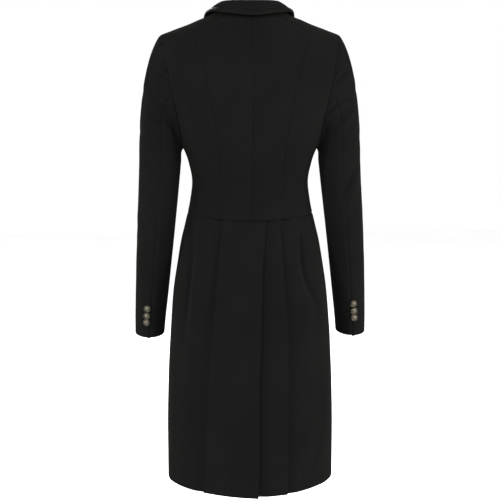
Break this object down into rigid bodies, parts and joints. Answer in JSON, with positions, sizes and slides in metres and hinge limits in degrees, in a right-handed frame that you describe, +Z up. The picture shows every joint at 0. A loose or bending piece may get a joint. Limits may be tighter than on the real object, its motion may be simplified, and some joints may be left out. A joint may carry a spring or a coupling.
{
  "type": "dressage jacket",
  "caption": "Long, fitted dressage frock coat, filled out without a wearer: open neck, sleeves and hem, turned-down collar with satin binding, pleated skirt, domed metal buttons.",
  "frame": {"origin": "between the wearer's shoulders, on the centre line, at the height of the sides of the neck seam, where the jacket hangs from the wearer's shoulders", "axes": "+Z up, -Y the way the wearer faces (the back with its pleats is at +Y), +X the wearer's left"},
  "size_m": [0.4908, 0.2916, 1.0117],
  "materials": {
    "black_cloth": "matt black twill cloth with a soft, slightly warm sheen",
    "satin_binding": "black satin band with a soft gloss",
    "antique_metal": "antique pewter and bronze coloured metal, polished dome with darker hollows"
  },
  "bodies": {
    "root": {"back_left": "black_cloth", "back_right": "black_cloth", "side_back_left": "black_cloth", "side_back_right": "black_cloth", "front_left": "black_cloth", "front_right": "black_cloth", "lapel_left": "black_cloth", "lapel_right": "black_cloth", "collar": "black_cloth", "collar_binding": "satin_binding", "sleeve_upper_left": "black_cloth", "sleeve_upper_right": "black_cloth", "sleeve_under_left": "black_cloth", "sleeve_under_right": "black_cloth", "skirt_centre_left": "black_cloth", "skirt_centre_right": "black_cloth", "skirt_side_left": "black_cloth", "skirt_side_right": "black_cloth", "cuff_button_left_1": "antique_metal", "cuff_button_left_2": "antique_metal", "cuff_button_left_3": "antique_metal", "cuff_button_right_1": "antique_metal", "cuff_button_right_2": "antique_metal", "cuff_button_right_3": "antique_metal", "front_button_1": "antique_metal", "front_button_2": "antique_metal", "front_button_3": "antique_metal"}
  },
  "joints": []
}
